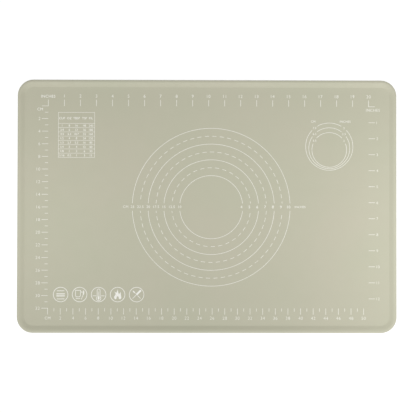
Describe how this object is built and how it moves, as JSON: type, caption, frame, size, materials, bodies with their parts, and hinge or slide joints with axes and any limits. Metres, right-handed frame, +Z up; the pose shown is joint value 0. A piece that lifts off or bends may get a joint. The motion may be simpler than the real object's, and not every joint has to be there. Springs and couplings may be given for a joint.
{
  "type": "silicone pastry mat",
  "caption": "Flat rectangular silicone pastry mat with rounded corners, a raised spill rim and white printed rulers, dough rings, portion rings and a conversion table.",
  "frame": {"origin": "middle of the underside, on the surface that the mat lies on", "axes": "+X along the long side towards the right-hand inch ruler, +Y towards the top inch ruler, +Z up out of the printed working face"},
  "size_m": [0.6, 0.4, 0.0035],
  "materials": {
    "sage_silicone": "matte",
    "white_ink": "matte"
  },
  "bodies": {
    "root": {"mat_sheet": "sage_silicone", "guide_ring_250_upper": "white_ink", "guide_ring_250_lower": "white_ink", "guide_ring_200_upper": "white_ink", "guide_ring_200_lower": "white_ink", "guide_ring_150_upper": "white_ink", "guide_ring_150_lower": "white_ink", "guide_ring_100_upper": "white_ink", "guide_ring_100_lower": "white_ink", "portion_ring_75_top": "white_ink", "portion_ring_75_bottom": "white_ink", "portion_ring_65_top": "white_ink", "portion_ring_65_bottom": "white_ink", "portion_ring_55_top": "white_ink", "portion_ring_55_bottom": "white_ink", "inch_tick_top_1": "white_ink", "inch_tick_top_2": "white_ink", "inch_tick_top_3": "white_ink", "inch_tick_top_4": "white_ink", "inch_tick_top_5": "white_ink", "inch_tick_top_6": "white_ink", "inch_tick_top_7": "white_ink", "inch_tick_top_8": "white_ink", "inch_tick_top_9": "white_ink", "inch_tick_top_10": "white_ink", "inch_tick_top_11": "white_ink", "inch_tick_top_12": "white_ink", "inch_tick_top_13": "white_ink", "inch_tick_top_14": "white_ink", "inch_tick_top_15": "white_ink", "inch_tick_top_16": "white_ink", "inch_tick_top_17": "white_ink", "inch_tick_top_18": "white_ink", "inch_tick_top_19": "white_ink", "inch_tick_right_1": "white_ink", "inch_tick_right_2": "white_ink", "inch_tick_right_3": "white_ink", "inch_tick_right_4": "white_ink", "inch_tick_right_5": "white_ink", "inch_tick_right_6": "white_ink", "inch_tick_right_7": "white_ink", "inch_tick_right_8": "white_ink", "inch_tick_right_9": "white_ink", "inch_tick_right_10": "white_ink", "inch_tick_right_11": "white_ink", "inch_tick_right_12": "white_ink", "corner_mark_top_left": "white_ink", "corner_mark_top_right": "white_ink", "corner_mark_bottom_left": "white_ink", "conversion_table": "white_ink", "badge_ring_1": "white_ink", "badge_ring_2": "white_ink", "badge_ring_3": "white_ink", "badge_ring_4": "white_ink", "badge_ring_5": "white_ink"}
  },
  "joints": []
}
